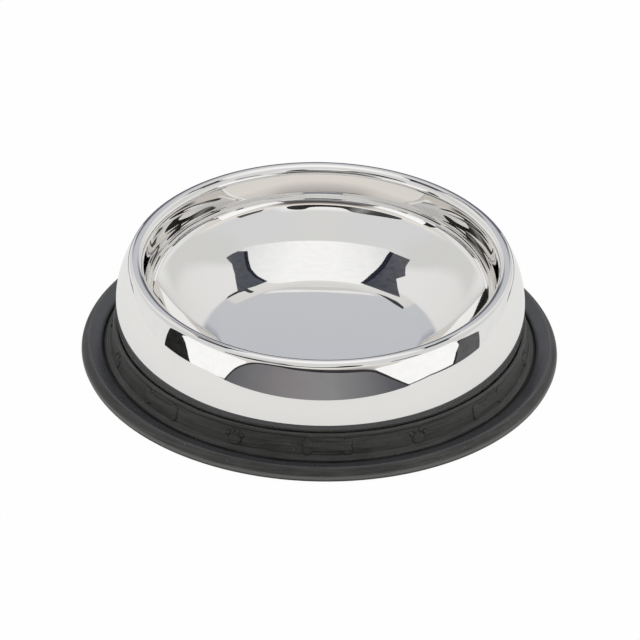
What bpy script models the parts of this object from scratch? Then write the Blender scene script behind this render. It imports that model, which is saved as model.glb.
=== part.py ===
"""Non-tip pet bowl: a polished steel bowl that stands in a moulded rubber base ring.

Metres, +Z up. The origin is on the bowl's axis, at the height of the table that the ring stands on.
"""

import math

import bmesh
import bpy

for old in list(bpy.data.objects):
    bpy.data.objects.remove(old, do_unlink=True)

# Whole object
SEGMENTS = 72  # facets round the axis
FIT_GAP = 0.0003  # clearance between the steel and the rubber
FLANGE_RADIUS = 0.1050  # axis to the outer edge of the ring, the widest line of the object
FLANGE_REACH = 0.0148  # how far the ring stands out past the belly

# Steel bowl: one drawn sheet that runs from the floor, over the rim and down to the hem
SHEET = 0.0007  # thickness of the steel
BOWL_HEIGHT = 0.0475  # table to the top of the rim
RIM_INSET = 0.0085  # middle of the rolled rim to the widest line of the belly
RIM_ROLL = 0.0037  # outside radius of the roll
BELLY_HEIGHT = 0.0246  # table to the widest line
BELLY_TUCK = 0.0400  # radius of the curve below the widest line
NECK_DEPTH = 0.0105  # upright wall inside the rim
NECK_FILLET = 0.0080  # hollow curve from the neck to the dish
DISH_SLOPE = math.radians(45.0)  # steepest slope of the dish, at its top
DISH_FOOT_SLOPE = math.radians(18.0)  # slope where the dish meets the floor's fillet
FLOOR_FILLET = 0.0160
FLOOR_SLOPE = math.radians(5.8)  # the floor is slightly hollow: its slope where the fillet starts
FLOOR_HEIGHT = 0.0062  # table to the upper face of the middle of the floor
HEM_ROLL = 0.0018  # outside radius of the turned-in lower edge
HEM_LIP = 0.0020  # flat width of the turned-in edge

# Rubber ring: a band round the foot of the bowl with a broad flange on the table
BASE_THICKNESS = 0.0039  # rubber under the hem
BAND_HEIGHT = 0.0155  # table to the top of the band's bead
BAND_WALL = 0.0020  # thickness of the bead
BEAD_PROUD = 0.0004  # how far the bead stands out over the face
BAND_FLARE = 0.0016  # how far the face leans out towards its foot
STEP_HEIGHT = 0.0056  # table to the foot of the face
STEP_WIDTH = 0.0022
GROOVE_WIDTH = 0.0008  # dark gutter between the step and the flange
GROOVE_FLOOR = 0.0030
FLANGE_TOP = 0.0040  # table to the inner edge of the flange
LIP_HEIGHT = 0.0056  # table to the ridge of the lip
LIP_WIDTH = 0.0036  # ridge to the outer edge
LIP_ROLL = 0.0010  # radius of the ridge
LIP_FOOT = 0.0013  # height of the parting line on the outer edge
UPSTAND_HEIGHT = 0.0078  # rubber lip inside the hem
UPSTAND_WALL = 0.0020

# Raised bones and paw prints on the band
MOTIF_PAIRS = 7  # a bone and a paw print in each pair
MOTIF_TURN = math.radians(-87.2)  # direction of the first bone, seen from above
RELIEF = 0.00045  # height over the face
RELIEF_ROOT = 0.0005  # depth that each raised shape starts below the face
BONE_LENGTH = 0.0216
BONE_HEIGHT = 0.0073
BONE_SHAFT = 0.0042  # height of the middle of the bone
KNUCKLE_RADIUS = 0.0021
PAD_WIDTH = 0.0058
PAD_HEIGHT = 0.0044
TOE_WIDTH = 0.0014
TOE_HEIGHT = 0.0018
TOE_REACH = 0.0040  # middle of the pad to the middle of a toe
CUT_STEP = 0.0040  # the raised shapes follow the band in steps of this length


def arc(centre, radius, start, end, steps):
    """Points on a circle in the (radius, height) plane, ends included."""
    points = []
    for i in range(steps + 1):
        a = start + (end - start) * i / steps
        points.append((centre[0] + radius * math.cos(a), centre[1] + radius * math.sin(a)))
    return points


# Curves of the steel, each tangent to the next
BELLY_RADIUS = FLANGE_RADIUS - FLANGE_REACH
RIM_RADIUS = BELLY_RADIUS - RIM_INSET
RIM_Z = BOWL_HEIGHT - RIM_ROLL
NECK_RADIUS = RIM_RADIUS - RIM_ROLL
SHOULDER_TURN = 2.0 * math.atan((BELLY_RADIUS - RIM_RADIUS - RIM_ROLL) / (RIM_Z - BELLY_HEIGHT))
SHOULDER = (RIM_Z - BELLY_HEIGHT) / math.sin(SHOULDER_TURN) + RIM_ROLL
HEM_HEIGHT = BASE_THICKNESS + FIT_GAP
TUCK_TURN = math.asin((BELLY_HEIGHT - HEM_ROLL - HEM_HEIGHT) / (BELLY_TUCK - HEM_ROLL))
TUCK_CENTRE = (BELLY_RADIUS - BELLY_TUCK, BELLY_HEIGHT)
HEM_CENTRE = (
    TUCK_CENTRE[0] + (BELLY_TUCK - HEM_ROLL) * math.cos(TUCK_TURN),
    HEM_HEIGHT + HEM_ROLL,
)
NECK_CENTRE = (NECK_RADIUS - NECK_FILLET, RIM_Z - NECK_DEPTH)
DISH_TOP = (
    NECK_CENTRE[0] + NECK_FILLET * math.sin(DISH_SLOPE),
    NECK_CENTRE[1] - NECK_FILLET * math.cos(DISH_SLOPE),
)
FILLET_RUN = FLOOR_FILLET * (math.sin(DISH_FOOT_SLOPE) - math.sin(FLOOR_SLOPE))
FILLET_RISE = FLOOR_FILLET * (math.cos(FLOOR_SLOPE) - math.cos(DISH_FOOT_SLOPE))
DISH_RUN = math.sin(DISH_SLOPE) - math.sin(DISH_FOOT_SLOPE)  # for a dish of radius one, as the next two
DISH_RISE = math.cos(DISH_FOOT_SLOPE) - math.cos(DISH_SLOPE)
FLOOR_RISE = math.tan(FLOOR_SLOPE / 2)
DISH = (
    DISH_TOP[1] - FLOOR_HEIGHT - FILLET_RISE - FLOOR_RISE * (DISH_TOP[0] - FILLET_RUN)
) / (DISH_RISE - FLOOR_RISE * DISH_RUN)
DISH_CENTRE = (
    DISH_TOP[0] - DISH * math.sin(DISH_SLOPE),
    DISH_TOP[1] + DISH * math.cos(DISH_SLOPE),
)
FLOOR_RADIUS = DISH_TOP[0] - FILLET_RUN - DISH * DISH_RUN
FLOOR_BOW = FLOOR_RADIUS / math.sin(FLOOR_SLOPE)
FLOOR_CENTRE = (0.0, FLOOR_HEIGHT + FLOOR_BOW)
FILLET_CENTRE = (
    FLOOR_RADIUS - FLOOR_FILLET * math.sin(FLOOR_SLOPE),
    FLOOR_HEIGHT + FLOOR_RADIUS * FLOOR_RISE + FLOOR_FILLET * math.cos(FLOOR_SLOPE),
)
DOWN = -math.pi / 2


def sheet_side(depth, steps):
    """One side of the steel, from the middle of the floor to the hem. depth is measured into the sheet."""
    floor, fillet, dish, neck, roll, shoulder, tuck, hem = steps
    side = [(0.0, FLOOR_HEIGHT - depth)]
    side += arc(FLOOR_CENTRE, FLOOR_BOW + depth, DOWN, DOWN + FLOOR_SLOPE, floor)[1:]
    side += arc(FILLET_CENTRE, FLOOR_FILLET + depth, DOWN + FLOOR_SLOPE, DOWN + DISH_FOOT_SLOPE, fillet)[1:]
    side += arc(DISH_CENTRE, DISH + depth, DOWN + DISH_FOOT_SLOPE, DOWN + DISH_SLOPE, dish)[1:]
    side += arc(NECK_CENTRE, NECK_FILLET + depth, DOWN + DISH_SLOPE, 0.0, neck)[1:]
    side += arc((RIM_RADIUS, RIM_Z), RIM_ROLL - depth, math.pi, SHOULDER_TURN, roll)
    side += arc((BELLY_RADIUS - SHOULDER, BELLY_HEIGHT), SHOULDER - depth, SHOULDER_TURN, 0.0, shoulder)[1:]
    side += arc(TUCK_CENTRE, BELLY_TUCK - depth, 0.0, -TUCK_TURN, tuck)[1:]
    side += arc(HEM_CENTRE, HEM_ROLL - depth, -TUCK_TURN, DOWN, hem)[1:]
    side.append((HEM_CENTRE[0] - HEM_LIP, HEM_HEIGHT + depth))
    return side


def steel_outline():
    show = sheet_side(0.0, (3, 2, 6, 4, 9, 5, 5, 3))
    back = sheet_side(SHEET, (3, 2, 4, 3, 6, 4, 4, 2))
    return show + back[::-1]


# Band of the rubber ring
BEAD = BAND_WALL / 2
BEAD_Z = BAND_HEIGHT - BEAD
BEAD_TURN = math.asin((BELLY_HEIGHT - BEAD_Z) / (BELLY_TUCK + FIT_GAP))
BEAD_INSIDE = TUCK_CENTRE[0] + (BELLY_TUCK + FIT_GAP) * math.cos(BEAD_TURN)
BEAD_CENTRE = (BEAD_INSIDE + BEAD, BEAD_Z)
FACE_TOP = (BEAD_CENTRE[0] + BEAD - BEAD_PROUD, BEAD_Z - BEAD)
FACE_FOOT = (FACE_TOP[0] + BAND_FLARE, STEP_HEIGHT)
STEP_EDGE = FACE_FOOT[0] + STEP_WIDTH
RIDGE_CENTRE = (FLANGE_RADIUS - LIP_WIDTH, LIP_HEIGHT - LIP_ROLL)


def ring_outline():
    line = arc(BEAD_CENTRE, BEAD, math.pi, -math.radians(50.0), 7)
    line.append(FACE_TOP)
    line.append(FACE_FOOT)
    line.append((FACE_FOOT[0] + 0.45 * STEP_WIDTH, STEP_HEIGHT - 0.10 * STEP_WIDTH))
    line.append((FACE_FOOT[0] + 0.85 * STEP_WIDTH, STEP_HEIGHT - 0.40 * STEP_WIDTH))
    line.append((STEP_EDGE, FLANGE_TOP))
    line.append((STEP_EDGE, GROOVE_FLOOR))
    line.append((STEP_EDGE + GROOVE_WIDTH, GROOVE_FLOOR))
    line.append((STEP_EDGE + GROOVE_WIDTH, FLANGE_TOP))
    line += arc(RIDGE_CENTRE, LIP_ROLL, math.radians(105.0), math.radians(55.0), 3)
    outer = FLANGE_RADIUS - RIDGE_CENTRE[0]
    fall = RIDGE_CENTRE[1] - LIP_FOOT
    for part in (0.45, 0.72, 0.92):
        line.append((RIDGE_CENTRE[0] + part * outer, LIP_FOOT + fall * math.sqrt(1.0 - part * part)))
    line.append((FLANGE_RADIUS, LIP_FOOT))
    line.append((FLANGE_RADIUS - 0.3 * LIP_FOOT, 0.5 * LIP_FOOT))
    line.append((FLANGE_RADIUS - 0.4 * LIP_FOOT, 0.0))
    upstand = HEM_CENTRE[0] - HEM_LIP - FIT_GAP
    line.append((upstand - UPSTAND_WALL, 0.0))
    line.append((upstand - UPSTAND_WALL, UPSTAND_HEIGHT))
    line.append((upstand, UPSTAND_HEIGHT))
    line.append((upstand, BASE_THICKNESS))
    line += arc(HEM_CENTRE, HEM_ROLL + FIT_GAP, DOWN, -TUCK_TURN, 3)
    line += arc(TUCK_CENTRE, BELLY_TUCK + FIT_GAP, -TUCK_TURN, -BEAD_TURN, 3)[1:-1]
    return line


def turned(name, outline):
    """A solid of revolution about Z. An outline that starts and ends on the axis is closed by it."""
    vertices = []
    rings = []
    for r, z in outline:
        if r == 0.0:
            rings.append([len(vertices)] * SEGMENTS)
            vertices.append((0.0, 0.0, z))
            continue
        rings.append(list(range(len(vertices), len(vertices) + SEGMENTS)))
        for k in range(SEGMENTS):
            a = 2.0 * math.pi * k / SEGMENTS
            vertices.append((r * math.cos(a), r * math.sin(a), z))
    on_axis = outline[0][0] == 0.0
    faces = []
    for i in range(len(rings) - 1 if on_axis else len(rings)):
        here = rings[i]
        after = rings[(i + 1) % len(rings)]
        for k in range(SEGMENTS):
            n = (k + 1) % SEGMENTS
            corners = [here[k], after[k], after[n], here[n]]
            faces.append(list(dict.fromkeys(corners)))
    mesh = bpy.data.meshes.new(name)
    mesh.from_pydata(vertices, [], faces)
    return mesh_object(name, mesh)


def mesh_object(name, mesh):
    """Links a closed mesh into the scene with its faces out and its round faces smooth."""
    work = bmesh.new()
    work.from_mesh(mesh)
    bmesh.ops.recalc_face_normals(work, faces=work.faces)
    work.to_mesh(mesh)
    work.free()
    mesh.shade_smooth()
    mesh.set_sharp_from_angle(angle=math.radians(35.0))
    made = bpy.data.objects.new(name, mesh)
    bpy.context.collection.objects.link(made)
    return made


def finish(name, colour, roughness, metallic):
    """A plain Principled material."""
    material = bpy.data.materials.new(name)
    material.use_nodes = True
    shader = material.node_tree.nodes["Principled BSDF"]
    shader.inputs["Base Color"].default_value = (*colour, 1.0)
    shader.inputs["Roughness"].default_value = roughness
    shader.inputs["Metallic"].default_value = metallic
    return material


def bone_shape():
    """Outline of a bone with two rounded knuckles at each end, as (along, up) points."""
    up = BONE_HEIGHT / 2 - KNUCKLE_RADIUS
    along = BONE_LENGTH / 2 - KNUCKLE_RADIUS
    waist = math.pi - math.asin((BONE_SHAFT / 2 - up) / KNUCKLE_RADIUS)
    cleft = -math.asin(up / KNUCKLE_RADIUS)
    lobe = arc((along, up), KNUCKLE_RADIUS, waist, cleft, 6)
    right = lobe + [(s, -t) for s, t in lobe[-2::-1]]
    return right + [(-s, -t) for s, t in right]


def oval_shape(centre, width, height, corners):
    points = []
    for i in range(corners):
        a = 2.0 * math.pi * (i + 0.5) / corners
        points.append((centre[0] + width / 2 * math.cos(a), centre[1] + height / 2 * math.sin(a)))
    return points


def paw_shapes():
    """A broad pad with four toes over it."""
    drop = (PAD_HEIGHT / 2 - TOE_REACH - TOE_HEIGHT / 2) / 2
    shapes = [oval_shape((0.0, drop), PAD_WIDTH, PAD_HEIGHT, 12)]
    for lean in (-54.0, -18.0, 18.0, 54.0):
        a = math.radians(lean)
        toe = (TOE_REACH * math.sin(a), drop + TOE_REACH * math.cos(a))
        shapes.append(oval_shape(toe, TOE_WIDTH, TOE_HEIGHT, 6))
    return shapes


def raise_shape(work, shape, direction):
    """Adds one raised shape to a bmesh, wrapped round the leaning face of the band."""
    flat = bmesh.new()
    flat.faces.new([flat.verts.new((s, t, -RELIEF_ROOT)) for s, t in shape])
    reach = max(abs(s) for s, t in shape)
    for k in range(-int(reach / CUT_STEP), int(reach / CUT_STEP) + 1):
        everything = flat.verts[:] + flat.edges[:] + flat.faces[:]
        bmesh.ops.bisect_plane(flat, geom=everything, plane_co=(k * CUT_STEP, 0, 0), plane_no=(1, 0, 0))
    bmesh.ops.triangulate(flat, faces=flat.faces)
    grown = bmesh.ops.extrude_face_region(flat, geom=flat.faces[:], use_keep_orig=True)
    for item in grown["geom"]:
        if isinstance(item, bmesh.types.BMVert):
            item.co.z = RELIEF
    bmesh.ops.recalc_face_normals(flat, faces=flat.faces)
    middle = (FACE_TOP[1] + FACE_FOOT[1]) / 2
    lean = (FACE_FOOT[0] - FACE_TOP[0]) / (FACE_TOP[1] - FACE_FOOT[1])
    round_at = (FACE_TOP[0] + FACE_FOOT[0]) / 2
    for vertex in flat.verts:
        s, t, h = vertex.co
        r = round_at - lean * t + h
        a = direction + s / round_at
        vertex.co = (r * math.cos(a), r * math.sin(a), middle + t)
    mesh = bpy.data.meshes.new("raised_shape")
    flat.to_mesh(mesh)
    flat.free()
    work.from_mesh(mesh)
    bpy.data.meshes.remove(mesh)


def motif_tool():
    """All raised shapes as one hidden object that is joined to the ring."""
    work = bmesh.new()
    pitch = math.pi / MOTIF_PAIRS
    for pair in range(MOTIF_PAIRS):
        direction = MOTIF_TURN + 2.0 * pitch * pair
        raise_shape(work, bone_shape(), direction)
        for shape in paw_shapes():
            raise_shape(work, shape, direction + pitch)
    mesh = bpy.data.meshes.new("raised_motifs")
    work.to_mesh(mesh)
    work.free()
    tool = bpy.data.objects.new("raised_motifs", mesh)
    bpy.context.collection.objects.link(tool)
    tool.hide_render = True
    tool.display_type = "WIRE"
    return tool


ring = turned("rubber_ring", ring_outline())
ring.data.materials.append(finish("black_rubber", (0.028, 0.028, 0.030), 0.55, 0.0))
union = ring.modifiers.new("motifs", "BOOLEAN")
union.operation = "UNION"
union.solver = "EXACT"
union.object = motif_tool()

bowl = turned("steel_bowl", steel_outline())
bowl.data.materials.append(finish("polished_steel", (0.80, 0.79, 0.77), 0.06, 1.0))
bowl.parent = ring
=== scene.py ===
"""Scene of the non-tip pet bowl: a polished steel bowl that stands in a moulded rubber base ring.

Metres, +Z up, the front of the bowl towards -Y.
"""

import math

import bpy
import numpy as np
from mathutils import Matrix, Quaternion, Vector


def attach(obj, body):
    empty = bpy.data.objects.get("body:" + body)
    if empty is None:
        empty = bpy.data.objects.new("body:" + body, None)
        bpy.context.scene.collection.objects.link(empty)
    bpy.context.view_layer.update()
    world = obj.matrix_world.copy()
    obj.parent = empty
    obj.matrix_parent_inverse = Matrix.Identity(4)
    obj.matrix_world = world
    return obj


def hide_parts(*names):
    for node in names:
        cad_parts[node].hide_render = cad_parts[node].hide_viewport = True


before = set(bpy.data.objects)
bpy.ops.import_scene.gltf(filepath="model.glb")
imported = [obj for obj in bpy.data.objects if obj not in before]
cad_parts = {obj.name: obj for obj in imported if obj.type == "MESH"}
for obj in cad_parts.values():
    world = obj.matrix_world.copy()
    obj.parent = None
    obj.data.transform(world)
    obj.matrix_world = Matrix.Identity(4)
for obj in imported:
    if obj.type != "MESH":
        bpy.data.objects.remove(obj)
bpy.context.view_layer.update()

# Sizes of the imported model
FIT_GAP = 0.0003
FLANGE_RADIUS = 0.1050
FLANGE_REACH = 0.0148
SHEET = 0.0007
BOWL_HEIGHT = 0.0475
RIM_INSET = 0.0085
RIM_ROLL = 0.0037
BELLY_HEIGHT = 0.0246
BELLY_TUCK = 0.0400
DISH_FOOT_SLOPE = math.radians(18.0)
FLOOR_FILLET = 0.0160
FLOOR_SLOPE = math.radians(5.8)
FLOOR_HEIGHT = 0.0062
HEM_ROLL = 0.0018
HEM_LIP = 0.0020
BASE_THICKNESS = 0.0039
BAND_HEIGHT = 0.0155
BAND_WALL = 0.0020
BEAD_PROUD = 0.0004
BAND_FLARE = 0.0016
STEP_HEIGHT = 0.0056
STEP_WIDTH = 0.0022
GROOVE_WIDTH = 0.0008
GROOVE_FLOOR = 0.0030
FLANGE_TOP = 0.0040
LIP_HEIGHT = 0.0056
LIP_WIDTH = 0.0036
LIP_ROLL = 0.0010
LIP_FOOT = 0.0013
UPSTAND_HEIGHT = 0.0078
UPSTAND_WALL = 0.0020
MOTIF_PAIRS = 7
MOTIF_TURN = math.radians(-87.2)
RELIEF = 0.00045
BONE_LENGTH = 0.0216
BONE_HEIGHT = 0.0073
BONE_SHAFT = 0.0042
KNUCKLE_RADIUS = 0.0021
PAD_WIDTH = 0.0058
PAD_HEIGHT = 0.0044
TOE_WIDTH = 0.0014
TOE_HEIGHT = 0.0018
TOE_REACH = 0.0040

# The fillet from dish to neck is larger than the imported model's, because the photograph's reflections ask
# for that. It lies less than half a millimetre from it, and the dish below is very nearly the same.
NECK_DEPTH = 0.00861
NECK_FILLET = 0.0125
DISH_SLOPE = math.radians(43.34)

# Small roundings of the rubber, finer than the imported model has
STEP_ROUND = 0.0006
GROOVE_ROUND = 0.0003
FLANGE_ROUND = 0.0004
UNDER_ROUND = 0.0002
BORE_ROUND = 0.0003
UPSTAND_ROUND = 0.0006
ROUND_STEP = math.radians(12.0)
ROUND_LEAST = 3

# How finely the pieces are divided. The steel's steps follow sheet_side from the floor to the hem.
STEEL_TURNS = 360
SHOW_STEPS = (10, 8, 32, 26, 44, 30, 26, 8)
BACK_STEPS = (3, 3, 12, 10, 16, 12, 10, 4)
BEAD_STEPS = 16
FACE_ROWS = 34
RIDGE_STEPS = 6
LIP_STEPS = 12
LIP_FIRST = 3
HEM_SEAT_STEPS = 6
BELLY_SEAT_STEPS = 8
MOTIF_STEP = 0.00025
PLAIN_STEP = 0.0013
BONE_MARGIN = 0.0008
PAW_MARGIN = 0.0014
SHARED_EVERY = 6

DOWN = -math.pi / 2
WHITE = (1.0, 1.0, 1.0, 1.0)


def arc(centre, radius, start, end, steps):
    """Points on a circle in the (radius, height) plane, ends included."""
    points = []
    for i in range(steps + 1):
        a = start + (end - start) * i / steps
        points.append((centre[0] + radius * math.cos(a), centre[1] + radius * math.sin(a)))
    return points


def rounded(corners):
    """A line through (radius, height, fillet) corners, with an arc at each corner that has a fillet."""
    line = []
    for i, (x, y, fillet) in enumerate(corners):
        here = Vector((x, y))
        if fillet == 0.0 or i in (0, len(corners) - 1):
            line.append((x, y))
            continue
        back = (Vector(corners[i - 1][:2]) - here).normalized()
        ahead = (Vector(corners[i + 1][:2]) - here).normalized()
        half = back.angle(ahead) / 2
        trim = fillet / math.tan(half)
        centre = here + (back + ahead).normalized() * (fillet / math.sin(half))
        first = here + back * trim - centre
        last = here + ahead * trim - centre
        turn = math.atan2(first.x * last.y - first.y * last.x, first.dot(last))
        steps = max(ROUND_LEAST, int(abs(turn) / ROUND_STEP))
        start = math.atan2(first.y, first.x)
        line += arc(centre, fillet, start, start + turn, steps)
    return line


def spun(name, outline, angles, closed, common=None, fine=()):
    """A mesh of revolution about Z, with one row of points for each outline point.

    Where common is given, only the rows in fine have every angle, and the others have the common ones.
    """
    every = list(range(len(angles)))
    common = common or every
    vertices = []
    rows = []
    for i, (r, z) in enumerate(outline):
        if r == 0.0:
            rows.append(dict.fromkeys(every, len(vertices)))
            vertices.append((0.0, 0.0, z))
            continue
        columns = every if i in fine else common
        rows.append({k: len(vertices) + n for n, k in enumerate(columns)})
        vertices += [(r * math.cos(angles[k]), r * math.sin(angles[k]), z) for k in columns]
    faces = []
    for i in range(len(rows) if closed else len(rows) - 1):
        here = rows[i]
        after = rows[(i + 1) % len(rows)]
        columns = every if len(here) == len(after) == len(every) else common
        for k, n in zip(columns, columns[1:] + [columns[0] + len(every)]):
            across = [c % len(every) for c in range(k, n + 1)]
            corners = [here[c] for c in across if c in here]
            corners += [after[c] for c in across[::-1] if c in after]
            faces.append(list(dict.fromkeys(corners)))
    mesh = bpy.data.meshes.new(name)
    mesh.from_pydata(vertices, [], faces)
    mesh.shade_smooth()
    return mesh, rows


def placed(name, data):
    made = bpy.data.objects.new(name, data)
    bpy.context.collection.objects.link(made)
    return made


# Node helpers
def node(tree, kind, feeds=None, **settings):
    """Adds a node. Each feed is a socket to link or a fixed value."""
    made = tree.nodes.new(kind)
    for key, value in settings.items():
        setattr(made, key, value)
    for key, value in (feeds or {}).items():
        if isinstance(value, bpy.types.NodeSocket):
            tree.links.new(value, made.inputs[key])
        else:
            made.inputs[key].default_value = value
    return made


def calc(tree, operation, *values):
    return node(tree, "ShaderNodeMath", dict(enumerate(values)), operation=operation).outputs[0]


def plus(tree, a, b):
    return calc(tree, "ADD", a, b)


def minus(tree, a, b):
    return calc(tree, "SUBTRACT", a, b)


def times(tree, a, b):
    return calc(tree, "MULTIPLY", a, b)


def blend(tree, factor, a, b):
    made = node(tree, "ShaderNodeMix", {0: factor, 6: a, 7: b}, data_type="RGBA")
    return made.outputs[2]


def share(tree, value, low, high):
    """Where a value lies between low and high, from 0 to 1."""
    return node(tree, "ShaderNodeMapRange", {0: value, 1: low, 2: high}).outputs[0]


def span(tree, value, low, high, to_low, to_high):
    """Maps a value from one range to another with a smooth step."""
    feeds = {0: value, 1: low, 2: high, 3: to_low, 4: to_high}
    return node(tree, "ShaderNodeMapRange", feeds, interpolation_type="SMOOTHSTEP").outputs[0]


def noise(tree, vector, scale, detail=2.0, roughness=0.5):
    feeds = {"Vector": vector, "Scale": scale, "Detail": detail, "Roughness": roughness}
    return node(tree, "ShaderNodeTexNoise", feeds).outputs[0]


def split(tree, vector):
    return node(tree, "ShaderNodeSeparateXYZ", {0: vector}).outputs


def ramp(tree, factor, stops):
    """A colour for each place between 0 and 1."""
    made = node(tree, "ShaderNodeValToRGB", {0: factor})
    band = made.color_ramp
    while len(band.elements) < len(stops):
        band.elements.new(0.5)
    for element, (place, colour) in zip(band.elements, stops):
        element.position = place
        element.color = (*colour, 1.0)
    return made.outputs[0]


def grey(level, blue=1.0):
    return (level, level, level * blue)


def levels(tree, factor, stops):
    """A number for each place between 0 and 1."""
    return split(tree, ramp(tree, factor, [(place, grey(level)) for place, level in stops]))[0]


def surface(name):
    material = bpy.data.materials.new(name)
    material.use_nodes = True
    tree = material.node_tree
    return material, tree, tree.nodes["Principled BSDF"]


def connect(tree, shader, feeds):
    for key, socket in feeds.items():
        tree.links.new(socket, shader.inputs[key])


def round_coordinates(tree):
    """The piece's own coordinates, and the same as (distance from the axis, height)."""
    place = node(tree, "ShaderNodeTexCoord").outputs["Object"]
    x, y, z = split(tree, place)
    distance = calc(tree, "SQRT", plus(tree, times(tree, x, x), times(tree, y, y)))
    profile = node(tree, "ShaderNodeCombineXYZ", {0: distance, 1: z}).outputs[0]
    return place, profile


# Steel bowl
BELLY_RADIUS = FLANGE_RADIUS - FLANGE_REACH
RIM_RADIUS = BELLY_RADIUS - RIM_INSET
RIM_Z = BOWL_HEIGHT - RIM_ROLL
NECK_RADIUS = RIM_RADIUS - RIM_ROLL
SHOULDER_TURN = 2.0 * math.atan((BELLY_RADIUS - RIM_RADIUS - RIM_ROLL) / (RIM_Z - BELLY_HEIGHT))
SHOULDER = (RIM_Z - BELLY_HEIGHT) / math.sin(SHOULDER_TURN) + RIM_ROLL
SHOULDER_CENTRE = (BELLY_RADIUS - SHOULDER, BELLY_HEIGHT)
HEM_HEIGHT = BASE_THICKNESS + FIT_GAP
TUCK_TURN = math.asin((BELLY_HEIGHT - HEM_ROLL - HEM_HEIGHT) / (BELLY_TUCK - HEM_ROLL))
TUCK_CENTRE = (BELLY_RADIUS - BELLY_TUCK, BELLY_HEIGHT)
HEM_CENTRE = (
    TUCK_CENTRE[0] + (BELLY_TUCK - HEM_ROLL) * math.cos(TUCK_TURN),
    HEM_HEIGHT + HEM_ROLL,
)
NECK_CENTRE = (NECK_RADIUS - NECK_FILLET, RIM_Z - NECK_DEPTH)
DISH_TOP = (
    NECK_CENTRE[0] + NECK_FILLET * math.sin(DISH_SLOPE),
    NECK_CENTRE[1] - NECK_FILLET * math.cos(DISH_SLOPE),
)
FILLET_RUN = FLOOR_FILLET * (math.sin(DISH_FOOT_SLOPE) - math.sin(FLOOR_SLOPE))
FILLET_RISE = FLOOR_FILLET * (math.cos(FLOOR_SLOPE) - math.cos(DISH_FOOT_SLOPE))
DISH_RUN = math.sin(DISH_SLOPE) - math.sin(DISH_FOOT_SLOPE)
DISH_RISE = math.cos(DISH_FOOT_SLOPE) - math.cos(DISH_SLOPE)
FLOOR_RISE = math.tan(FLOOR_SLOPE / 2)
DISH = (
    DISH_TOP[1] - FLOOR_HEIGHT - FILLET_RISE - FLOOR_RISE * (DISH_TOP[0] - FILLET_RUN)
) / (DISH_RISE - FLOOR_RISE * DISH_RUN)
DISH_CENTRE = (
    DISH_TOP[0] - DISH * math.sin(DISH_SLOPE),
    DISH_TOP[1] + DISH * math.cos(DISH_SLOPE),
)
FLOOR_RADIUS = DISH_TOP[0] - FILLET_RUN - DISH * DISH_RUN
FLOOR_BOW = FLOOR_RADIUS / math.sin(FLOOR_SLOPE)
FLOOR_CENTRE = (0.0, FLOOR_HEIGHT + FLOOR_BOW)
FILLET_CENTRE = (
    FLOOR_RADIUS - FLOOR_FILLET * math.sin(FLOOR_SLOPE),
    FLOOR_HEIGHT + FLOOR_RADIUS * FLOOR_RISE + FLOOR_FILLET * math.cos(FLOOR_SLOPE),
)


def sheet_side(depth, steps):
    """One side of the steel, from the middle of the floor to the hem. depth is measured into the sheet."""
    floor, fillet, dish, neck, roll, shoulder, tuck, hem = steps
    side = [(0.0, FLOOR_HEIGHT - depth)]
    side += arc(FLOOR_CENTRE, FLOOR_BOW + depth, DOWN, DOWN + FLOOR_SLOPE, floor)[1:]
    side += arc(FILLET_CENTRE, FLOOR_FILLET + depth, DOWN + FLOOR_SLOPE, DOWN + DISH_FOOT_SLOPE, fillet)[1:]
    side += arc(DISH_CENTRE, DISH + depth, DOWN + DISH_FOOT_SLOPE, DOWN + DISH_SLOPE, dish)[1:]
    side += arc(NECK_CENTRE, NECK_FILLET + depth, DOWN + DISH_SLOPE, 0.0, neck)[1:]
    side += arc((RIM_RADIUS, RIM_Z), RIM_ROLL - depth, math.pi, SHOULDER_TURN, roll)
    side += arc(SHOULDER_CENTRE, SHOULDER - depth, SHOULDER_TURN, 0.0, shoulder)[1:]
    side += arc(TUCK_CENTRE, BELLY_TUCK - depth, 0.0, -TUCK_TURN, tuck)[1:]
    side += arc(HEM_CENTRE, HEM_ROLL - depth, -TUCK_TURN, DOWN, hem)[1:]
    side.append((HEM_CENTRE[0] - HEM_LIP, HEM_HEIGHT + depth))
    return side


STEEL_DULL = (0.865, 0.858, 0.848, 1.0)
STEEL_BRIGHT = (0.885, 0.880, 0.872, 1.0)
STEEL_WAVE = 0.00006  # height of the slow waves in the sheet, at most
STEEL_LINES = 0.0006  # height of the turned lines, as a share of the waves


def polished_steel():
    """A mirror with the fine lines of turning, a little haze and slow waves."""
    material, tree, shader = surface("polished_steel")
    place, profile = round_coordinates(tree)
    lines = noise(tree, profile, scale=5200.0, detail=3.0, roughness=0.6)
    haze = noise(tree, place, scale=55.0, detail=3.0, roughness=0.55)
    wave = noise(tree, place, scale=26.0, detail=1.0, roughness=0.4)
    tone = blend(tree, haze, STEEL_DULL, STEEL_BRIGHT)
    rough = span(tree, lines, 0.35, 0.75, 0.012, 0.030)
    rough = plus(tree, rough, span(tree, haze, 0.45, 0.8, 0.0, 0.02))
    height = plus(tree, wave, times(tree, lines, STEEL_LINES))
    bump = node(tree, "ShaderNodeBump", {"Strength": 1.0, "Distance": STEEL_WAVE, "Height": height})
    connect(tree, shader, {"Base Color": tone, "Roughness": rough, "Normal": bump.outputs[0]})
    shader.inputs["Metallic"].default_value = 1.0
    return material


show = sheet_side(0.0, SHOW_STEPS)
back = sheet_side(SHEET, BACK_STEPS)
angles = [2.0 * math.pi * k / STEEL_TURNS for k in range(STEEL_TURNS)]
steel_mesh, _ = spun("steel_bowl_shell", (show + back[::-1])[::-1], angles, False)
steel = placed("steel_bowl_shell", steel_mesh)
steel.data.materials.append(polished_steel())
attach(steel, "bowl")
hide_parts("steel_bowl")

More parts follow.
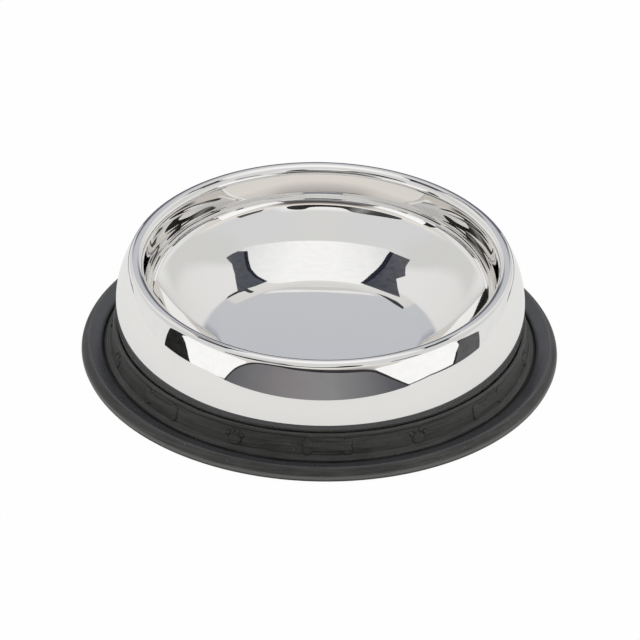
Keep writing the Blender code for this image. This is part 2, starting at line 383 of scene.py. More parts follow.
# Rubber ring
BEAD = BAND_WALL / 2
BEAD_Z = BAND_HEIGHT - BEAD
BEAD_END = -math.radians(50.0)
BEAD_TURN = math.asin((BELLY_HEIGHT - BEAD_Z) / (BELLY_TUCK + FIT_GAP))
BEAD_INSIDE = TUCK_CENTRE[0] + (BELLY_TUCK + FIT_GAP) * math.cos(BEAD_TURN)
BEAD_CENTRE = (BEAD_INSIDE + BEAD, BEAD_Z)
FACE_TOP = (BEAD_CENTRE[0] + BEAD - BEAD_PROUD, BEAD_Z - BEAD)
FACE_FOOT = (FACE_TOP[0] + BAND_FLARE, STEP_HEIGHT)
FACE_RADIUS = (FACE_TOP[0] + FACE_FOOT[0]) / 2
FACE_MIDDLE = (FACE_TOP[1] + FACE_FOOT[1]) / 2
STEP_EDGE = FACE_FOOT[0] + STEP_WIDTH
STEP_LEVEL = 0.55  # how far out the step is nearly level, as a share of its width
STEP_FALL = 0.08  # how far it falls on the way, as a share of its width
STEP_LIP = 0.0002  # height of the step's outer edge over the flange
RIDGE_CENTRE = (FLANGE_RADIUS - LIP_WIDTH, LIP_HEIGHT - LIP_ROLL)
RIDGE_START = math.radians(105.0)
RIDGE_END = math.radians(60.0)
LIP_UNDERCUT = 0.3 * LIP_FOOT
LIP_UNDERSIDE = 0.75 * LIP_FOOT
SOLE_INSET = 0.4 * LIP_FOOT
UPSTAND_RADIUS = HEM_CENTRE[0] - HEM_LIP - FIT_GAP
MOTIF_PITCH = math.pi / MOTIF_PAIRS
TOE_LEANS = [math.radians(lean) for lean in (-54.0, -18.0, 18.0, 54.0)]
MOTIF_EDGE = 0.00016  # half the width of a motif's sloping edge
MOAT_DEPTH = 0.00012  # a shallow line round each motif
MOAT_AWAY = 0.00030
MOAT_WIDTH = 0.00018
CREASE_SHADE_AWAY = 0.00012  # where the painted shade lies in the crease beside each motif
CREASE_SHADE_WIDTH = 0.00017


def ring_outline():
    """The ring's section in three stretches: the bead, the face with the motifs, and all the rest."""
    bead = arc(BEAD_CENTRE, BEAD, math.pi, BEAD_END, BEAD_STEPS)
    face = []
    for i in range(FACE_ROWS + 1):
        t = i / FACE_ROWS
        face.append((FACE_TOP[0] + BAND_FLARE * t, FACE_TOP[1] + (FACE_FOOT[1] - FACE_TOP[1]) * t))
    gutter = rounded([
        (*FACE_FOOT, 0.0),
        (FACE_FOOT[0] + STEP_LEVEL * STEP_WIDTH, STEP_HEIGHT - STEP_FALL * STEP_WIDTH, STEP_ROUND),
        (STEP_EDGE, FLANGE_TOP + STEP_LIP, STEP_ROUND),
        (STEP_EDGE, GROOVE_FLOOR, GROOVE_ROUND),
        (STEP_EDGE + GROOVE_WIDTH, GROOVE_FLOOR, GROOVE_ROUND),
        (STEP_EDGE + GROOVE_WIDTH, FLANGE_TOP, FLANGE_ROUND),
        (RIDGE_CENTRE[0], LIP_HEIGHT, 0.0),
    ])[1:-1]
    flange = arc(RIDGE_CENTRE, LIP_ROLL, RIDGE_START, RIDGE_END, RIDGE_STEPS)
    outer = FLANGE_RADIUS - RIDGE_CENTRE[0]
    fall = RIDGE_CENTRE[1] - LIP_FOOT
    for i in range(LIP_FIRST, LIP_STEPS + 1):
        a = math.pi / 2 * (1.0 - i / LIP_STEPS)
        flange.append((RIDGE_CENTRE[0] + outer * math.cos(a), LIP_FOOT + fall * math.sin(a)))
    under = rounded([
        (FLANGE_RADIUS, LIP_FOOT, 0.0),
        (FLANGE_RADIUS - LIP_UNDERCUT, LIP_UNDERSIDE, UNDER_ROUND),
        (FLANGE_RADIUS - SOLE_INSET, 0.0, UNDER_ROUND),
        (UPSTAND_RADIUS - UPSTAND_WALL, 0.0, BORE_ROUND),
        (UPSTAND_RADIUS - UPSTAND_WALL, UPSTAND_HEIGHT, UPSTAND_ROUND),
        (UPSTAND_RADIUS, UPSTAND_HEIGHT, UPSTAND_ROUND),
        (UPSTAND_RADIUS, BASE_THICKNESS, UNDER_ROUND),
        (HEM_CENTRE[0], BASE_THICKNESS, 0.0),
    ])[1:-1]
    seat = arc(HEM_CENTRE, HEM_ROLL + FIT_GAP, DOWN, -TUCK_TURN, HEM_SEAT_STEPS)
    seat += arc(TUCK_CENTRE, BELLY_TUCK + FIT_GAP, -TUCK_TURN, -BEAD_TURN, BELLY_SEAT_STEPS)[1:-1]
    return bead, face, gutter + flange + under + seat


def ring_angles():
    """Directions of the ring's points, close together at the motifs, and whether every row has each one."""
    bone_half = (BONE_LENGTH / 2 + BONE_MARGIN) / FACE_RADIUS
    paw_half = (PAD_WIDTH / 2 + PAW_MARGIN) / FACE_RADIUS
    stops = []
    for pair in range(MOTIF_PAIRS):
        bone = MOTIF_TURN + 2.0 * MOTIF_PITCH * pair
        paw = bone + MOTIF_PITCH
        for start, end, step, keep in (
            (bone - bone_half, bone + bone_half, MOTIF_STEP, SHARED_EVERY),
            (bone + bone_half, paw - paw_half, PLAIN_STEP, 1),
            (paw - paw_half, paw + paw_half, MOTIF_STEP, SHARED_EVERY),
            (paw + paw_half, bone + 2.0 * MOTIF_PITCH - bone_half, PLAIN_STEP, 1),
        ):
            count = max(1, round((end - start) * FACE_RADIUS / step))
            stops += [(start + (end - start) * i / count, i % keep == 0) for i in range(count)]
    return stops


def bone_distance(s, t):
    """Distance from the edge of a bone, less than nothing inside it."""
    along = BONE_LENGTH / 2 - KNUCKLE_RADIUS
    up = BONE_HEIGHT / 2 - KNUCKLE_RADIUS
    knuckles = np.hypot(np.abs(s) - along, np.abs(t) - up) - KNUCKLE_RADIUS
    shaft = np.maximum(np.abs(s) - along, np.abs(t) - BONE_SHAFT / 2)
    return np.minimum(knuckles, shaft)


def oval_distance(s, t, width, height):
    """About the same for an oval round the middle."""
    reach = np.hypot(s / (width / 2), t / (height / 2))
    return (reach - 1.0) * min(width, height) / 2


def paw_distance(s, t):
    """The same for a broad pad with four toes over it."""
    drop = (PAD_HEIGHT / 2 - TOE_REACH - TOE_HEIGHT / 2) / 2
    edge = oval_distance(s, t - drop, PAD_WIDTH, PAD_HEIGHT)
    for lean in TOE_LEANS:
        aside = TOE_REACH * math.sin(lean)
        above = TOE_REACH * math.cos(lean)
        edge = np.minimum(edge, oval_distance(s - aside, t - drop - above, TOE_WIDTH, TOE_HEIGHT))
    return edge


def raise_motifs(mesh, rows):
    """Moves the points of the face out over the bones and paw prints."""
    points = np.empty(len(mesh.vertices) * 3)
    mesh.vertices.foreach_get("co", points)
    points = points.reshape(-1, 3)
    index = np.array([list(row.values()) for row in rows]).ravel()
    face = points[index]
    turn = np.arctan2(face[:, 1], face[:, 0]) - MOTIF_TURN
    from_bone = (turn + MOTIF_PITCH) % (2.0 * MOTIF_PITCH) - MOTIF_PITCH
    from_paw = turn % (2.0 * MOTIF_PITCH) - MOTIF_PITCH
    t = face[:, 2] - FACE_MIDDLE
    edge = np.minimum(bone_distance(from_bone * FACE_RADIUS, t), paw_distance(from_paw * FACE_RADIUS, t))
    part = np.clip((MOTIF_EDGE - edge) / (2.0 * MOTIF_EDGE), 0.0, 1.0)
    moat = MOAT_DEPTH * np.exp(-((edge - MOAT_AWAY) / MOAT_WIDTH) ** 2)
    height = RELIEF * part * part * (3.0 - 2.0 * part) - moat
    points[index, :2] *= (1.0 + height / np.hypot(face[:, 0], face[:, 1]))[:, None]
    mesh.vertices.foreach_set("co", points.ravel())
    # Painted shade in the crease round each motif, kept on the points for the rubber's colour
    crease_shade = np.zeros(len(points))
    crease_shade[index] = np.exp(-((edge - CREASE_SHADE_AWAY) / CREASE_SHADE_WIDTH) ** 2)
    mesh.attributes.new("crease_shade", "FLOAT", "POINT").data.foreach_set("value", crease_shade)
    mesh.update()


RUBBER_BLACK = (0.001, 0.001, 0.001, 1.0)
RUBBER_PALE = (0.060, 0.060, 0.058, 1.0)
RUBBER_SLOPE_SHEEN = (0.056, 0.058, 0.067, 1.0)  # painted bluish sheen on the smooth top of the flange
RUBBER_EDGE_HIGHLIGHT = (0.17, 0.17, 0.165, 1.0)  # painted highlight along the flange's outermost edge
RUBBER_FOLD = (0.075, 0.075, 0.073, 1.0)  # the crown of the bead
SPECK = (0.24, 0.24, 0.23, 1.0)
POWDER = (0.13, 0.13, 0.128, 1.0)
FLANGE_START = 0.0925  # where the flange's wear, painted highlights and painted shade are counted from, out to its edge
INSIDE_SHADE_FULL = 0.0876  # painted shade on the ring's inside, where the steel sits in it, is full up to here
INSIDE_SHADE_GONE = 0.0890
CROWN_OUT = 0.0906  # the bead's crown fades out from here
CROWN_END = 0.0912
BAND_BLEND = 0.0004  # height over which the flange's wear and painted light give way to the band's
STREAK_DRAW = (0.05, 0.05, 0.05)  # how much the streaks still change round the ring
RUBBER_BUMP = 0.00006
# Paleness across the flange from the step out: a painted highlight on the step, painted shade in the gutter,
# mid-pale slope and lip, a painted highlight at the outer edge
FLANGE_WEAR_AND_PAINTED_LIGHT = (
    (0.00, 0.70), (0.08, 0.72), (0.15, 0.74), (0.20, 0.30), (0.26, 0.30), (0.36, 0.58),
    (0.60, 0.60), (0.70, 0.64), (0.76, 0.64), (0.84, 0.60), (0.95, 0.72), (1.00, 1.00),
)
# Paleness up the band from the step to the bead's top: palest at the foot, darkest on the bead's outer side
BAND_PALENESS = (
    (0.00, 0.76), (0.10, 0.74), (0.40, 0.70), (0.66, 0.64),
    (0.78, 0.62), (0.84, 0.56), (0.92, 0.56), (1.00, 0.64),
)


def rubber_wear_and_shade(tree, place, distance, height, outward, upward):
    """How pale the rubber is: painted highlights on the step and the outer edge, painted shade in the
    gutter, round the motifs and on the inside where the steel sits.
    """
    on_band = span(tree, height, STEP_HEIGHT, STEP_HEIGHT + BAND_BLEND, 0.0, 1.0)
    flange = ramp(tree, outward, [(at, grey(level)) for at, level in FLANGE_WEAR_AND_PAINTED_LIGHT])
    band = ramp(tree, upward, [(at, grey(level)) for at, level in BAND_PALENESS])
    wear_and_shade = split(tree, blend(tree, on_band, flange, band))[0]
    # Painted shade on the ring's inside, where the steel sits in it
    wear_and_shade = times(tree, wear_and_shade, span(tree, distance, INSIDE_SHADE_FULL, INSIDE_SHADE_GONE, 0.15, 1.0))
    # Painted shade in the crease round each motif, patchy
    crease_shade = node(tree, "ShaderNodeAttribute", attribute_name="crease_shade").outputs["Fac"]
    crease_shade = times(tree, crease_shade, span(tree, noise(tree, place, scale=240.0), 0.40, 0.60, 0.35, 0.75))
    return times(tree, wear_and_shade, minus(tree, 1.0, crease_shade))


def rubber_specks(tree, place):
    """Small bits of dust, in some of the cells only."""
    cells = node(tree, "ShaderNodeTexVoronoi", {"Vector": place, "Scale": 420.0}).outputs
    near = span(tree, cells["Distance"], 0.06, 0.15, 1.0, 0.0)
    pick = split(tree, cells["Color"])[0]
    return times(tree, near, span(tree, pick, 0.66, 0.74, 0.0, 1.0))


def rubber_powder(tree, place, slope):
    """Fine dust in patches, wiped off the flange's smooth top."""
    powder = span(tree, noise(tree, place, scale=1100.0, detail=4.0, roughness=0.75), 0.54, 0.72, 0.0, 0.5)
    powder = times(tree, powder, span(tree, noise(tree, place, scale=24.0), 0.42, 0.60, 0.1, 1.0))
    return times(tree, powder, minus(tree, 1.0, slope))


def black_rubber():
    """Painted shade in the gutter and the creases, painted highlights on the step and the outer edge, a
    painted sheen on the flange's top, paler on the bead and the lip.
    """
    material, tree, shader = surface("black_rubber")
    place, profile = round_coordinates(tree)
    distance, height, _ = split(tree, profile)
    outward = share(tree, distance, FLANGE_START, FLANGE_RADIUS)
    upward = share(tree, height, STEP_HEIGHT, BAND_HEIGHT)
    wear_and_shade = rubber_wear_and_shade(tree, place, distance, height, outward, upward)
    slope = span(tree, outward, 0.24, 0.40, 0.0, 1.0)
    slope = times(tree, slope, span(tree, outward, 0.70, 0.80, 1.0, 0.0))
    speck = rubber_specks(tree, place)
    powder = rubber_powder(tree, place, slope)

    # Noise: clouds, grain, and streaks drawn out round the ring
    cloud = noise(tree, place, scale=70.0, detail=4.0, roughness=0.6)
    grain = noise(tree, place, scale=2600.0, detail=3.0, roughness=0.6)
    drawn = {0: place, 1: STREAK_DRAW, 2: profile}
    drawn = node(tree, "ShaderNodeVectorMath", drawn, operation="MULTIPLY_ADD").outputs[0]
    streaks = noise(tree, drawn, scale=1500.0, detail=4.0, roughness=0.7)

    # Colour
    uneven = span(tree, cloud, 0.3, 0.7, 0.72, 1.28)
    uneven = times(tree, uneven, span(tree, streaks, 0.33, 0.68, 0.52, 1.60))
    uneven = times(tree, uneven, span(tree, noise(tree, place, scale=15.0), 0.35, 0.65, 0.82, 1.20))
    fold = span(tree, upward, 0.90, 0.96, 0.0, 1.0)
    fold = times(tree, fold, span(tree, distance, CROWN_OUT, CROWN_END, 1.0, 0.0))
    fold = times(tree, fold, span(tree, streaks, 0.35, 0.65, 0.35, 1.0))
    # Base tone from the wear and the painted light and shade, made uneven at random
    tone = blend(tree, times(tree, wear_and_shade, uneven), RUBBER_BLACK, RUBBER_PALE)
    # Painted bluish sheen on the flange's smooth top
    tone = blend(tree, times(tree, slope, 0.8), tone, RUBBER_SLOPE_SHEEN)
    # Painted highlight along the flange's outermost edge
    tone = blend(tree, span(tree, outward, 0.955, 0.995, 0.0, 0.8), tone, RUBBER_EDGE_HIGHLIGHT)
    tone = blend(tree, times(tree, speck, 0.8), tone, SPECK)
    tone = blend(tree, powder, tone, POWDER)
    tone = blend(tree, fold, tone, RUBBER_FOLD)

    # Gloss and fine relief, both smoother on the flange's top
    rough = plus(tree, span(tree, cloud, 0.3, 0.7, 0.44, 0.56), times(tree, grain, 0.10))
    rough = minus(tree, rough, times(tree, slope, 0.27))
    relief = plus(tree, grain, times(tree, streaks, 0.9))
    relief = plus(tree, relief, times(tree, speck, 1.5))
    relief = times(tree, relief, minus(tree, 1.0, times(tree, slope, 0.8)))
    bump = node(tree, "ShaderNodeBump", {"Strength": 0.6, "Distance": RUBBER_BUMP, "Height": relief})
    # The specular level follows the same wear and painted shade, so it is lowest in the gutter, the creases
    # and inside
    shine = plus(tree, span(tree, wear_and_shade, 0.0, 0.6, 0.05, 0.50), times(tree, slope, 0.32))
    connect(tree, shader, {
        "Base Color": tone,
        "Roughness": rough,
        "Normal": bump.outputs[0],
        "Specular IOR Level": shine,
    })
    return material


bead, face, rest = ring_outline()
stops = ring_angles()[::-1]
shared = [k for k, (_, kept) in enumerate(stops) if kept]
fine = range(len(bead), len(bead) + len(face))
turns = [a for a, _ in stops]
ring_mesh, ring_rows = spun("rubber_base_ring", bead + face + rest, turns, True, shared, fine)
raise_motifs(ring_mesh, ring_rows[len(bead) + 1 : len(bead) + len(face) - 1])
ring = placed("rubber_base_ring", ring_mesh)
ring.data.materials.append(black_rubber())
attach(ring, "base_ring")
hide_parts("rubber_ring")


# Studio: a pale floor, and cards that only reflections see
def flat_shape(name, corners):
    mesh = bpy.data.meshes.new(name)
    mesh.from_pydata(corners, [], [list(range(len(corners)))])
    return placed(name, mesh)


def softened(corners, rounds=3):
    """The same outline with its corners cut again and again until they are round."""
    for _ in range(rounds):
        cut = []
        for i, here in enumerate(corners):
            after = corners[(i + 1) % len(corners)]
            cut.append(tuple(0.75 * a + 0.25 * b for a, b in zip(here, after)))
            cut.append(tuple(0.25 * a + 0.75 * b for a, b in zip(here, after)))
        corners = cut
    return corners


def glow(name, stops, low, high, mottle):
    """A material that gives off light. Its colour changes along X from low to high, with some unevenness."""
    material = bpy.data.materials.new(name)
    material.use_nodes = True
    tree = material.node_tree
    tree.nodes.clear()
    place = node(tree, "ShaderNodeTexCoord").outputs["Object"]
    colour = ramp(tree, share(tree, split(tree, place)[0], low, high), stops)
    clouds = noise(tree, place, scale=30.0, detail=3.0)
    uneven = span(tree, clouds, 0.3, 0.7, 1.0 - mottle, 1.0 + mottle)
    lamp = node(tree, "ShaderNodeEmission", {"Color": colour, "Strength": uneven})
    end = node(tree, "ShaderNodeOutputMaterial")
    tree.links.new(lamp.outputs[0], end.inputs[0])
    return material


def card(name, corners, *colours, low=-1.0, high=1.0, mottle=0.02):
    """A sheet that only reflections see. The colours are spread evenly from low to high along X."""
    made = flat_shape(name, corners)
    if len(colours) == 1:
        colours = colours * 2
    stops = [(i / (len(colours) - 1), colour) for i, colour in enumerate(colours)]
    made.data.materials.append(glow(name, stops, low, high, mottle))
    made.visible_camera = False
    made.visible_diffuse = False
    made.visible_shadow = False


STUDIO_RADIUS = 3.0
STUDIO_DROP = 0.0002  # the floor lies just under the ring
FLOOR_DULL = (0.86, 0.855, 0.825, 1.0)
FLOOR_PALE = (0.89, 0.885, 0.855, 1.0)
CAMERA_WHITE = 0.975  # how far the camera sees plain white, with the shadow in what is left
MIRROR_WHITE = 0.54  # the same for what the steel mirrors


def pale_floor():
    material, tree, shader = surface("pale_floor")
    place = node(tree, "ShaderNodeTexCoord").outputs["Object"]
    connect(tree, shader, {"Base Color": blend(tree, noise(tree, place, scale=6.0), FLOOR_DULL, FLOOR_PALE)})
    shader.inputs["Roughness"].default_value = 0.7
    path = node(tree, "ShaderNodeLightPath").outputs
    mirrored = calc(tree, "MAXIMUM", path["Is Glossy Ray"], path["Is Transmission Ray"])
    whiteness = times(tree, path["Is Camera Ray"], CAMERA_WHITE)
    whiteness = plus(tree, whiteness, times(tree, mirrored, MIRROR_WHITE))
    white = node(tree, "ShaderNodeEmission", {"Color": WHITE, "Strength": 1.0})
    both = node(tree, "ShaderNodeMixShader", {0: whiteness})
    tree.links.new(shader.outputs[0], both.inputs[1])
    tree.links.new(white.outputs[0], both.inputs[2])
    tree.links.new(both.outputs[0], tree.nodes["Material Output"].inputs[0])
    return material


circle = [(STUDIO_RADIUS * math.cos(a), STUDIO_RADIUS * math.sin(a), -STUDIO_DROP) for a in angles[::5]]
floor = flat_shape("studio_floor", circle)
floor.data.materials.append(pale_floor())

# Places of the cards. Where two overlap, the one that is to be seen is nearer to the bowl.
FRONT = -0.225
FAR_FRONT = -0.60
SIDE = 0.345
CEILING = 0.70
LAYER = 0.001
CARD_BEHIND = 0.015
FOOT_BEHIND = 0.013
SHEET_START = 0.17
SHEET_HEIGHT = 0.0004
LIGHT_LEFT = -0.30
LIGHT_MIDDLE = 0.01
LIGHT_FRONT = -0.041

WHITE_CARD = grey(1.06)
WALL = grey(0.83)
# painted shadow at the cards' feet
CARD_FOOT_SHADOW = grey(0.12)
BAR_FOOT = (0.05, 0.052, 0.06)


def upright(y, points):
    return [(x, y, z) for x, z in points]


def beside(x, points):
    return [(x, y, z) for y, z in points]


def overhead(points, layers=0):
    return [(x, y, CEILING - layers * LAYER) for x, y in points]


# In front: a dark opening with a darker edge, and a white card on each side of it that turns the corner
card(
    "front_opening",
    softened(upright(FRONT, [
        (-0.216, 0.0), (-0.216, 0.0), (-0.195, 0.042), (-0.175, 0.075), (-0.140, 0.104),
        (-0.095, 0.108), (-0.040, 0.095), (0.045, 0.089), (0.100, 0.092), (0.125, 0.070),
        (0.150, 0.046), (0.203, 0.0), (0.203, 0.0),
    ])),
    grey(0.12, 1.12), grey(0.165, 1.05), (0.215, 0.205, 0.215), (0.265, 0.25, 0.26),
    grey(0.265), grey(0.195, 1.05), grey(0.125, 1.12), grey(0.09, 1.1),
    low=-0.216, high=0.203,
)
card(
    "front_header",
    softened(upright(FRONT - 2 * LAYER, [
        (-0.224, 0.0), (-0.224, 0.0), (-0.202, 0.045), (-0.182, 0.081), (-0.142, 0.113),
        (-0.095, 0.119), (-0.040, 0.107), (0.045, 0.102), (0.106, 0.101), (0.133, 0.076),
        (0.158, 0.050), (0.213, 0.0), (0.213, 0.0),
    ])),
    grey(0.04), mottle=0.2,
)
card("left_card", upright(FRONT - CARD_BEHIND, [
    (-0.345, 0.0), (-0.200, 0.0), (-0.170, 0.115), (-0.280, 0.150), (-0.345, 0.185),
]), WHITE_CARD)
card("left_card_wing", beside(-SIDE, [
    (-0.162, 0.0), (-0.240, 0.0), (-0.240, 0.185), (-0.100, 0.200), (-0.100, 0.100),
    (-0.122, 0.082), (-0.141, 0.052),
]), WHITE_CARD)
card("right_card", upright(FRONT - CARD_BEHIND, [
    (0.345, 0.0), (0.190, 0.0), (0.120, 0.105), (0.190, 0.120), (0.300, 0.180), (0.345, 0.200),
]), WHITE_CARD)
card("right_card_wing", beside(SIDE, [
    (-0.145, 0.0), (-0.240, 0.0), (-0.240, 0.200), (-0.100, 0.200), (-0.100, 0.079), (-0.120, 0.057),
]), WHITE_CARD)
# Thin dark strips at the cards' feet: painted shadow where each card meets the floor
card("left_card_foot_shadow", upright(FRONT - FOOT_BEHIND, [(-0.275, 0.0), (-0.200, 0.0), (-0.200, 0.007)]), CARD_FOOT_SHADOW)
card("right_card_foot_shadow", upright(FRONT - FOOT_BEHIND, [
    (0.345, 0.0), (0.190, 0.0), (0.190, 0.004), (0.345, 0.008),
]), CARD_FOOT_SHADOW)
card("right_wing_foot_shadow", beside(SIDE - 2 * LAYER, [
    (-0.238, 0.0), (-0.140, 0.0), (-0.140, 0.010), (-0.238, 0.008),
]), CARD_FOOT_SHADOW)

# At the sides: a dark flag and a pale low wall behind it
card("left_flag", beside(-SIDE - LAYER, [
    (-0.165, 0.0), (-0.052, 0.0), (-0.048, 0.100), (-0.066, 0.160), (-0.110, 0.180),
]), grey(0.022), mottle=0.3)
card("left_wall", beside(-SIDE - 3 * LAYER, [
    (-0.053, 0.0), (0.85, 0.0), (0.85, 0.13), (-0.053, 0.13),
]), WALL)
card("right_flag", beside(SIDE + LAYER, [
    (-0.134, 0.0), (-0.028, 0.0), (-0.012, 0.063), (-0.078, 0.100), (-0.108, 0.085), (-0.114, 0.050),
]), grey(0.12, 1.04), mottle=0.1)
card("right_flag_edge", beside(SIDE + 2 * LAYER, [
    (-0.150, 0.0), (-0.120, 0.0), (-0.080, 0.070), (-0.078, 0.106), (-0.122, 0.106),
]), grey(0.03))
card("right_wall", beside(SIDE + 3 * LAYER, [
    (-0.029, 0.0), (0.85, 0.0), (0.85, 0.13), (-0.029, 0.13),
]), WALL)

# Behind: a blue-grey sheet on the floor
card("rear_sheet", [
    (-1.5, SHEET_START, SHEET_HEIGHT), (1.5, SHEET_START, SHEET_HEIGHT),
    (1.5, 2.0, SHEET_HEIGHT), (-1.5, 2.0, SHEET_HEIGHT),
], (0.24, 0.245, 0.28))

# Overhead: a soft light with a bowed front edge, between two dark bars with darker edges
light_across = [0.03 * i + LIGHT_LEFT for i in range(23)]
light_front = [(x, (x - LIGHT_MIDDLE) ** 2 + LIGHT_FRONT) for x in light_across]
light_back = [
    (0.375, 0.160), (0.310, 0.270), (0.160, 0.372), (0.025, 0.385),
    (-0.110, 0.372), (-0.240, 0.330), (-0.330, 0.160),
]
card(
    "overhead_light", overhead(light_front + light_back),
    (0.78, 0.785, 0.81), (0.93, 0.93, 0.93), (1.02, 1.02, 1.02),
    (1.02, 1.02, 1.02), (0.92, 0.92, 0.925), (0.80, 0.80, 0.81),
    low=-0.33, high=0.37,
)
card("bar_right", overhead([
    (0.446, 0.211), (0.420, 0.165), (0.387, 0.125), (0.329, 0.105), (0.303, 0.172), (0.267, 0.249),
    (0.222, 0.307), (0.170, 0.352), (0.208, 0.411), (0.286, 0.500), (0.310, 0.428), (0.345, 0.328),
    (0.388, 0.247),
], 2), (0.085, 0.092, 0.110), (0.100, 0.105, 0.118), low=0.17, high=0.45, mottle=0.12)
card("bar_left", overhead([
    (-0.304, 0.072), (-0.409, 0.177), (-0.380, 0.205), (-0.362, 0.225), (-0.347, 0.270), (-0.339, 0.308),
    (-0.281, 0.319), (-0.270, 0.413), (-0.265, 0.517), (-0.181, 0.425), (-0.120, 0.348), (-0.166, 0.266),
    (-0.223, 0.185),
], 2), (0.062, 0.068, 0.085), (0.115, 0.116, 0.132), low=-0.13, high=-0.36, mottle=0.15)
card("bar_right_edge", overhead([
    (0.329, 0.105), (0.350, 0.112), (0.322, 0.182), (0.284, 0.262), (0.232, 0.322), (0.182, 0.362),
    (0.170, 0.352), (0.222, 0.307), (0.267, 0.249), (0.303, 0.172),
], 4), (0.022, 0.024, 0.034), mottle=0.1)
card("bar_left_edge", overhead([
    (-0.304, 0.072), (-0.322, 0.090), (-0.298, 0.120), (-0.243, 0.203), (-0.185, 0.284), (-0.132, 0.358),
    (-0.120, 0.348), (-0.166, 0.266), (-0.223, 0.185), (-0.279, 0.099),
], 4), (0.022, 0.024, 0.036), mottle=0.1)
card("bar_right_foot", overhead([
    (0.345, 0.630), (0.310, 0.565), (0.281, 0.515), (0.253, 0.482), (0.200, 0.515), (0.197, 0.485),
    (0.253, 0.447), (0.281, 0.480), (0.310, 0.530), (0.335, 0.580),
]), BAR_FOOT)
card("bar_left_foot", overhead([
    (-0.100, 0.610), (-0.100, 0.780), (-0.150, 0.780), (-0.215, 0.690), (-0.205, 0.610), (-0.150, 0.590),
]), BAR_FOOT)

# High in front: dark shapes for the neck to mirror
card(
    "dark_front",
    softened(upright(FAR_FRONT, [
        (-0.92, 0.63), (-0.57, 0.50), (-0.36, 0.44), (-0.18, 0.395), (0.00, 0.378), (0.15, 0.385),
        (0.28, 0.42), (0.30, 0.60), (0.24, 0.76), (0.15, 0.74), (0.10, 0.52), (-0.12, 0.51),
        (-0.20, 0.62), (-0.27, 0.88), (-0.45, 0.95), (-0.70, 0.92), (-0.92, 0.84),
    ]), 2),
    grey(0.06), grey(0.05), grey(0.08), grey(0.30), grey(0.05),
    grey(0.02), grey(0.02), grey(0.03), grey(0.04),
    low=-0.70, high=0.30, mottle=0.3,
)
card("dark_right", upright(FAR_FRONT, [
    (0.50, 0.45), (1.07, 0.72), (1.07, 0.98), (0.58, 0.62),
]), grey(0.10), mottle=0.3)

# The room's colours by height, from 0 at the horizon to 1 overhead
ROOM_FRONT = [
    (0.0, (0.10, 0.09, 0.09)), (0.19, (0.10, 0.09, 0.09)), (0.215, (0.22, 0.20, 0.20)),
    (0.245, (0.50, 0.47, 0.45)), (0.262, (0.70, 0.67, 0.63)), (0.275, (0.88, 0.84, 0.79)),
    (0.30, (0.88, 0.84, 0.80)), (0.34, (0.97, 0.97, 0.96)), (0.47, (0.95, 0.95, 0.94)),
    (0.60, (0.74, 0.74, 0.73)), (0.90, (0.74, 0.74, 0.73)), (1.0, (0.90, 0.90, 0.90)),
]
ROOM_ASIDE = [
    (0.0, (0.80, 0.79, 0.77)), (0.24, (0.74, 0.71, 0.67)), (0.262, (0.78, 0.75, 0.71)),
    (0.275, (0.89, 0.86, 0.81)), (0.31, (0.84, 0.82, 0.79)), (0.40, (0.72, 0.725, 0.74)),
    (0.65, (0.73, 0.735, 0.75)), (0.90, (0.74, 0.74, 0.73)), (1.0, (0.90, 0.90, 0.90)),
]
ROOM_SIDE = [
    (0.0, (0.84, 0.84, 0.83)), (0.20, (0.84, 0.84, 0.83)), (0.26, (0.70, 0.70, 0.69)),
    (0.60, (0.70, 0.70, 0.69)), (1.0, (0.90, 0.90, 0.90)),
]
ROOM_CORNER = [
    (0.0, (0.66, 0.66, 0.66)), (0.18, (0.69, 0.69, 0.685)), (0.25, (0.79, 0.785, 0.775)),
    (0.37, (0.825, 0.82, 0.81)), (1.0, (0.90, 0.90, 0.90)),
]
ROOM_REAR = [
    (0.0, (0.07, 0.07, 0.08)), (0.14, (0.10, 0.105, 0.125)), (0.235, (0.28, 0.295, 0.34)),
    (0.31, (0.57, 0.585, 0.625)), (0.485, (0.60, 0.61, 0.635)), (0.50, (0.74, 0.73, 0.71)),
    (1.0, (0.90, 0.90, 0.90)),
]
# How far back the corners and the rear begin at each height, from 0 at the side to 1 straight behind
CORNER_FROM = [(0.26, 0.73), (0.37, 0.53), (0.48, 0.44)]
REAR_FROM = [(0.0, 0.93), (0.14, 0.93), (0.25, 0.915), (0.40, 0.866), (0.55, 0.82)]


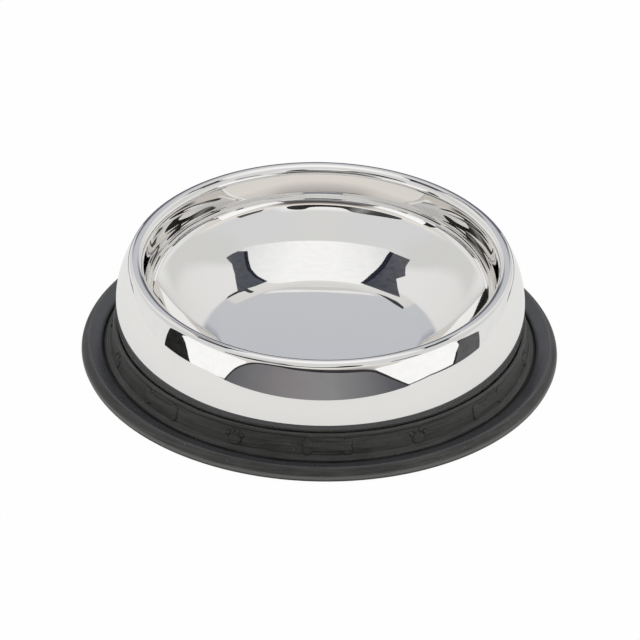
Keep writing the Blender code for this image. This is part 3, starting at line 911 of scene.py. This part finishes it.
def studio_world():
    """White for the camera. For the rest a soft room: paler high in front, blue-grey low at the back."""
    world = bpy.data.worlds.new("studio")
    bpy.context.scene.world = world
    world.use_nodes = True
    tree = world.node_tree
    tree.nodes.clear()
    _, y, z = split(tree, node(tree, "ShaderNodeTexCoord").outputs["Generated"])
    height = calc(tree, "DIVIDE", calc(tree, "ARCSINE", z), math.pi / 2)
    height = calc(tree, "MAXIMUM", height, 0.0)
    across = calc(tree, "SQRT", minus(tree, 1.0, times(tree, z, z)))
    rearward = calc(tree, "DIVIDE", y, calc(tree, "MAXIMUM", across, 0.001))
    in_corner = minus(tree, rearward, levels(tree, height, CORNER_FROM))
    in_rear = minus(tree, rearward, levels(tree, height, REAR_FROM))
    side = ramp(tree, height, ROOM_SIDE)
    side = blend(tree, span(tree, in_corner, -0.09, 0.09, 0.0, 1.0), side, ramp(tree, height, ROOM_CORNER))
    side = blend(tree, span(tree, in_rear, -0.01, 0.01, 0.0, 1.0), side, ramp(tree, height, ROOM_REAR))
    front = ramp(tree, height, ROOM_FRONT)
    front = blend(tree, span(tree, rearward, -0.95, -0.80, 0.0, 1.0), front, ramp(tree, height, ROOM_ASIDE))
    colour = blend(tree, span(tree, rearward, -0.25, 0.15, 1.0, 0.0), side, front)
    colour = blend(tree, node(tree, "ShaderNodeLightPath").outputs["Is Camera Ray"], colour, WHITE)
    sky = node(tree, "ShaderNodeBackground", {"Color": colour, "Strength": 1.0})
    end = node(tree, "ShaderNodeOutputWorld")
    tree.links.new(sky.outputs[0], end.inputs[0])


studio_world()

# Camera: between the angles that the bowl and the ring have in the photograph, from far off with a long lens
ELEVATION = math.radians(32.4)
ROLL = math.radians(1.3)
DISTANCE = 4.0
AIM = Vector((0.0, 0.0, 0.01645))
SENSOR = 36.0
FOCAL_LENGTH = 9075.0  # in pixels of the photograph
PHOTO_WIDTH = 640.0
lens = bpy.data.cameras.new("camera")
lens.sensor_width = SENSOR
lens.lens = SENSOR * FOCAL_LENGTH / PHOTO_WIDTH
lens.clip_start = 0.1
lens.clip_end = 20.0
camera = placed("camera", lens)
behind = Vector((0.0, -math.cos(ELEVATION), math.sin(ELEVATION)))
camera.location = AIM + behind * DISTANCE
camera.rotation_mode = "QUATERNION"
camera.rotation_quaternion = (-behind).to_track_quat("-Z", "Y") @ Quaternion((0.0, 0.0, 1.0), ROLL)
bpy.context.scene.camera = camera
bpy.context.scene.view_settings.view_transform = "Standard"
